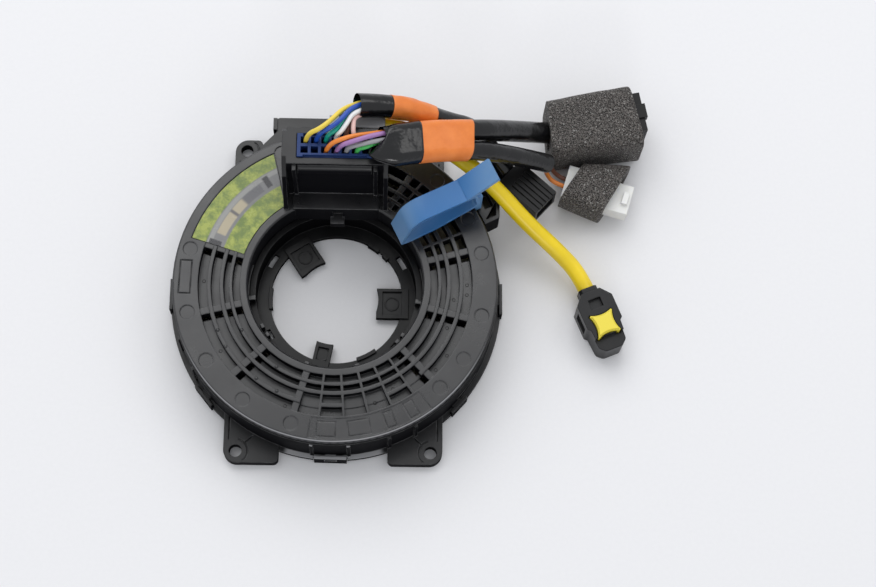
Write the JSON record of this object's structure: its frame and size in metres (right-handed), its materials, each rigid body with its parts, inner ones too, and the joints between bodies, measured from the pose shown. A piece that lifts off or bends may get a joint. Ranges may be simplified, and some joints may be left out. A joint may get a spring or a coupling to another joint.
{
  "type": "steering clock spring",
  "caption": "Flat round rotary connector for a steering wheel: fixed case with lugs, grilled rotor with a connector tower, wire harness and airbag lead.",
  "frame": {"origin": "on the turning axis, in the plane that the case stands on", "axes": "+Z along the turning axis to the driver, +Y to the connector tower, +X to the side the harness leaves"},
  "size_m": [0.1657, 0.135, 0.056],
  "materials": {
    "case_plastic": "moulded black plastic with a low sheen",
    "connector_black": "moulded black plastic",
    "retainer_grey": "moulded grey plastic",
    "insert_plastic": "moulded black plastic",
    "tinned_brass": "tin plated brass",
    "flat_cable": "clear film over flat conductors",
    "slip_film": "smooth slip film",
    "window_film": "printed film with a clear middle",
    "plug_blue": "moulded dark blue plastic",
    "sleeve_black": "soft black tube",
    "tape_orange": "orange adhesive tape",
    "lead_yellow": "soft yellow sheath",
    "lock_yellow": "moulded yellow plastic",
    "foam_grey": "open cell foam",
    "connector_white": "moulded natural white plastic",
    "strap_blue": "moulded blue plastic",
    "carrier_cream": "moulded cream plastic",
    "roller_cream": "moulded cream plastic",
    "insulation_yellow": "soft insulation",
    "insulation_blue": "soft insulation",
    "insulation_teal": "soft insulation",
    "insulation_white": "soft insulation",
    "insulation_brown": "soft insulation",
    "insulation_pink": "soft insulation",
    "insulation_orange": "soft insulation",
    "insulation_purple": "soft insulation",
    "insulation_grey": "soft insulation",
    "insulation_green": "soft insulation"
  },
  "bodies": {
    "stator": {"stator_case": "case_plastic", "bottom_cover": "case_plastic", "slip_sheet": "slip_film", "stator_insert": "insert_plastic", "signal_contacts": "tinned_brass", "airbag_contacts": "tinned_brass", "cable_outer_coil": "flat_cable"},
    "rotor": {"rotor_cover": "case_plastic", "rotor_sleeve": "case_plastic", "rotor_insert": "insert_plastic", "cable_inner_coil": "flat_cable", "window_label": "window_film", "harness_plug": "plug_blue", "rear_sleeve": "sleeve_black", "rear_tape": "tape_orange", "front_sleeve": "sleeve_black", "lower_sleeve": "sleeve_black", "pair_tape": "tape_orange", "airbag_lead": "lead_yellow", "squib_housing": "connector_black", "ribbed_connector": "connector_black", "ribbed_retainer": "retainer_grey", "main_connector": "connector_black", "upper_foam": "foam_grey", "white_connector": "connector_white", "lower_foam": "foam_grey", "tail_wire_brown": "insulation_brown", "tail_wire_orange": "insulation_orange", "wire_yellow": "insulation_yellow", "wire_blue": "insulation_blue", "wire_teal": "insulation_teal", "wire_white": "insulation_white", "wire_brown": "insulation_brown", "wire_pink": "insulation_pink", "wire_orange": "insulation_orange", "wire_purple": "insulation_purple", "wire_grey": "insulation_grey", "wire_green": "insulation_green"},
    "carrier": {"carrier_ring": "carrier_cream", "cable_turn_loop": "flat_cable"},
    "roller_1": {"roller_1": "roller_cream"},
    "roller_2": {"roller_2": "roller_cream"},
    "roller_3": {"roller_3": "roller_cream"},
    "roller_4": {"roller_4": "roller_cream"},
    "roller_5": {"roller_5": "roller_cream"},
    "roller_6": {"roller_6": "roller_cream"},
    "airbag_lock": {"squib_lock": "lock_yellow"},
    "strap": {"lock_strap": "strap_blue"}
  },
  "joints": [
    {"name": "rotor_spin", "type": "hinge", "parent": "stator", "child": "rotor", "pos_m": [0, 0, 0], "axis": [0, 0, 1], "range_deg": [-900, 900]},
    {"name": "carrier_turn", "type": "hinge", "parent": "stator", "child": "carrier", "pos_m": [0, 0, 0], "axis": [0, 0, 1], "range_deg": [-360, 360]},
    {"name": "roller_1_spin", "type": "hinge", "parent": "carrier", "child": "roller_1", "pos_m": [-0.03202, 0.02593, 0.0107], "axis": [0, 0, 1], "range_deg": [-4000, 4000]},
    {"name": "roller_2_spin", "type": "hinge", "parent": "carrier", "child": "roller_2", "pos_m": [-0.03846, -0.01477, 0.0107], "axis": [0, 0, 1], "range_deg": [-4000, 4000]},
    {"name": "roller_3_spin", "type": "hinge", "parent": "carrier", "child": "roller_3", "pos_m": [-0.00645, -0.04069, 0.0107], "axis": [0, 0, 1], "range_deg": [-4000, 4000]},
    {"name": "roller_4_spin", "type": "hinge", "parent": "carrier", "child": "roller_4", "pos_m": [0.03202, -0.02593, 0.0107], "axis": [0, 0, 1], "range_deg": [-4000, 4000]},
    {"name": "roller_5_spin", "type": "hinge", "parent": "carrier", "child": "roller_5", "pos_m": [0.03846, 0.01477, 0.0107], "axis": [0, 0, 1], "range_deg": [-4000, 4000]},
    {"name": "roller_6_spin", "type": "hinge", "parent": "carrier", "child": "roller_6", "pos_m": [0.00645, 0.04069, 0.0107], "axis": [0, 0, 1], "range_deg": [-4000, 4000]},
    {"name": "airbag_lock_lift", "type": "slide", "parent": "rotor", "child": "airbag_lock", "axis": [0, 0, 1], "range_m": [0, 0.0025]},
    {"name": "strap_pull", "type": "slide", "parent": "rotor", "child": "strap", "axis": [0, 0, 1], "range_m": [0, 0.014]}
  ],
  "couplings": [
    {"joint": "carrier_turn", "follows": "rotor_spin", "ratio": 0.3929},
    {"joint": "roller_1_spin", "follows": "rotor_spin", "ratio": -4.375},
    {"joint": "roller_2_spin", "follows": "rotor_spin", "ratio": -4.375},
    {"joint": "roller_3_spin", "follows": "rotor_spin", "ratio": -4.375},
    {"joint": "roller_4_spin", "follows": "rotor_spin", "ratio": -4.375},
    {"joint": "roller_5_spin", "follows": "rotor_spin", "ratio": -4.375},
    {"joint": "roller_6_spin", "follows": "rotor_spin", "ratio": -4.375}
  ]
}
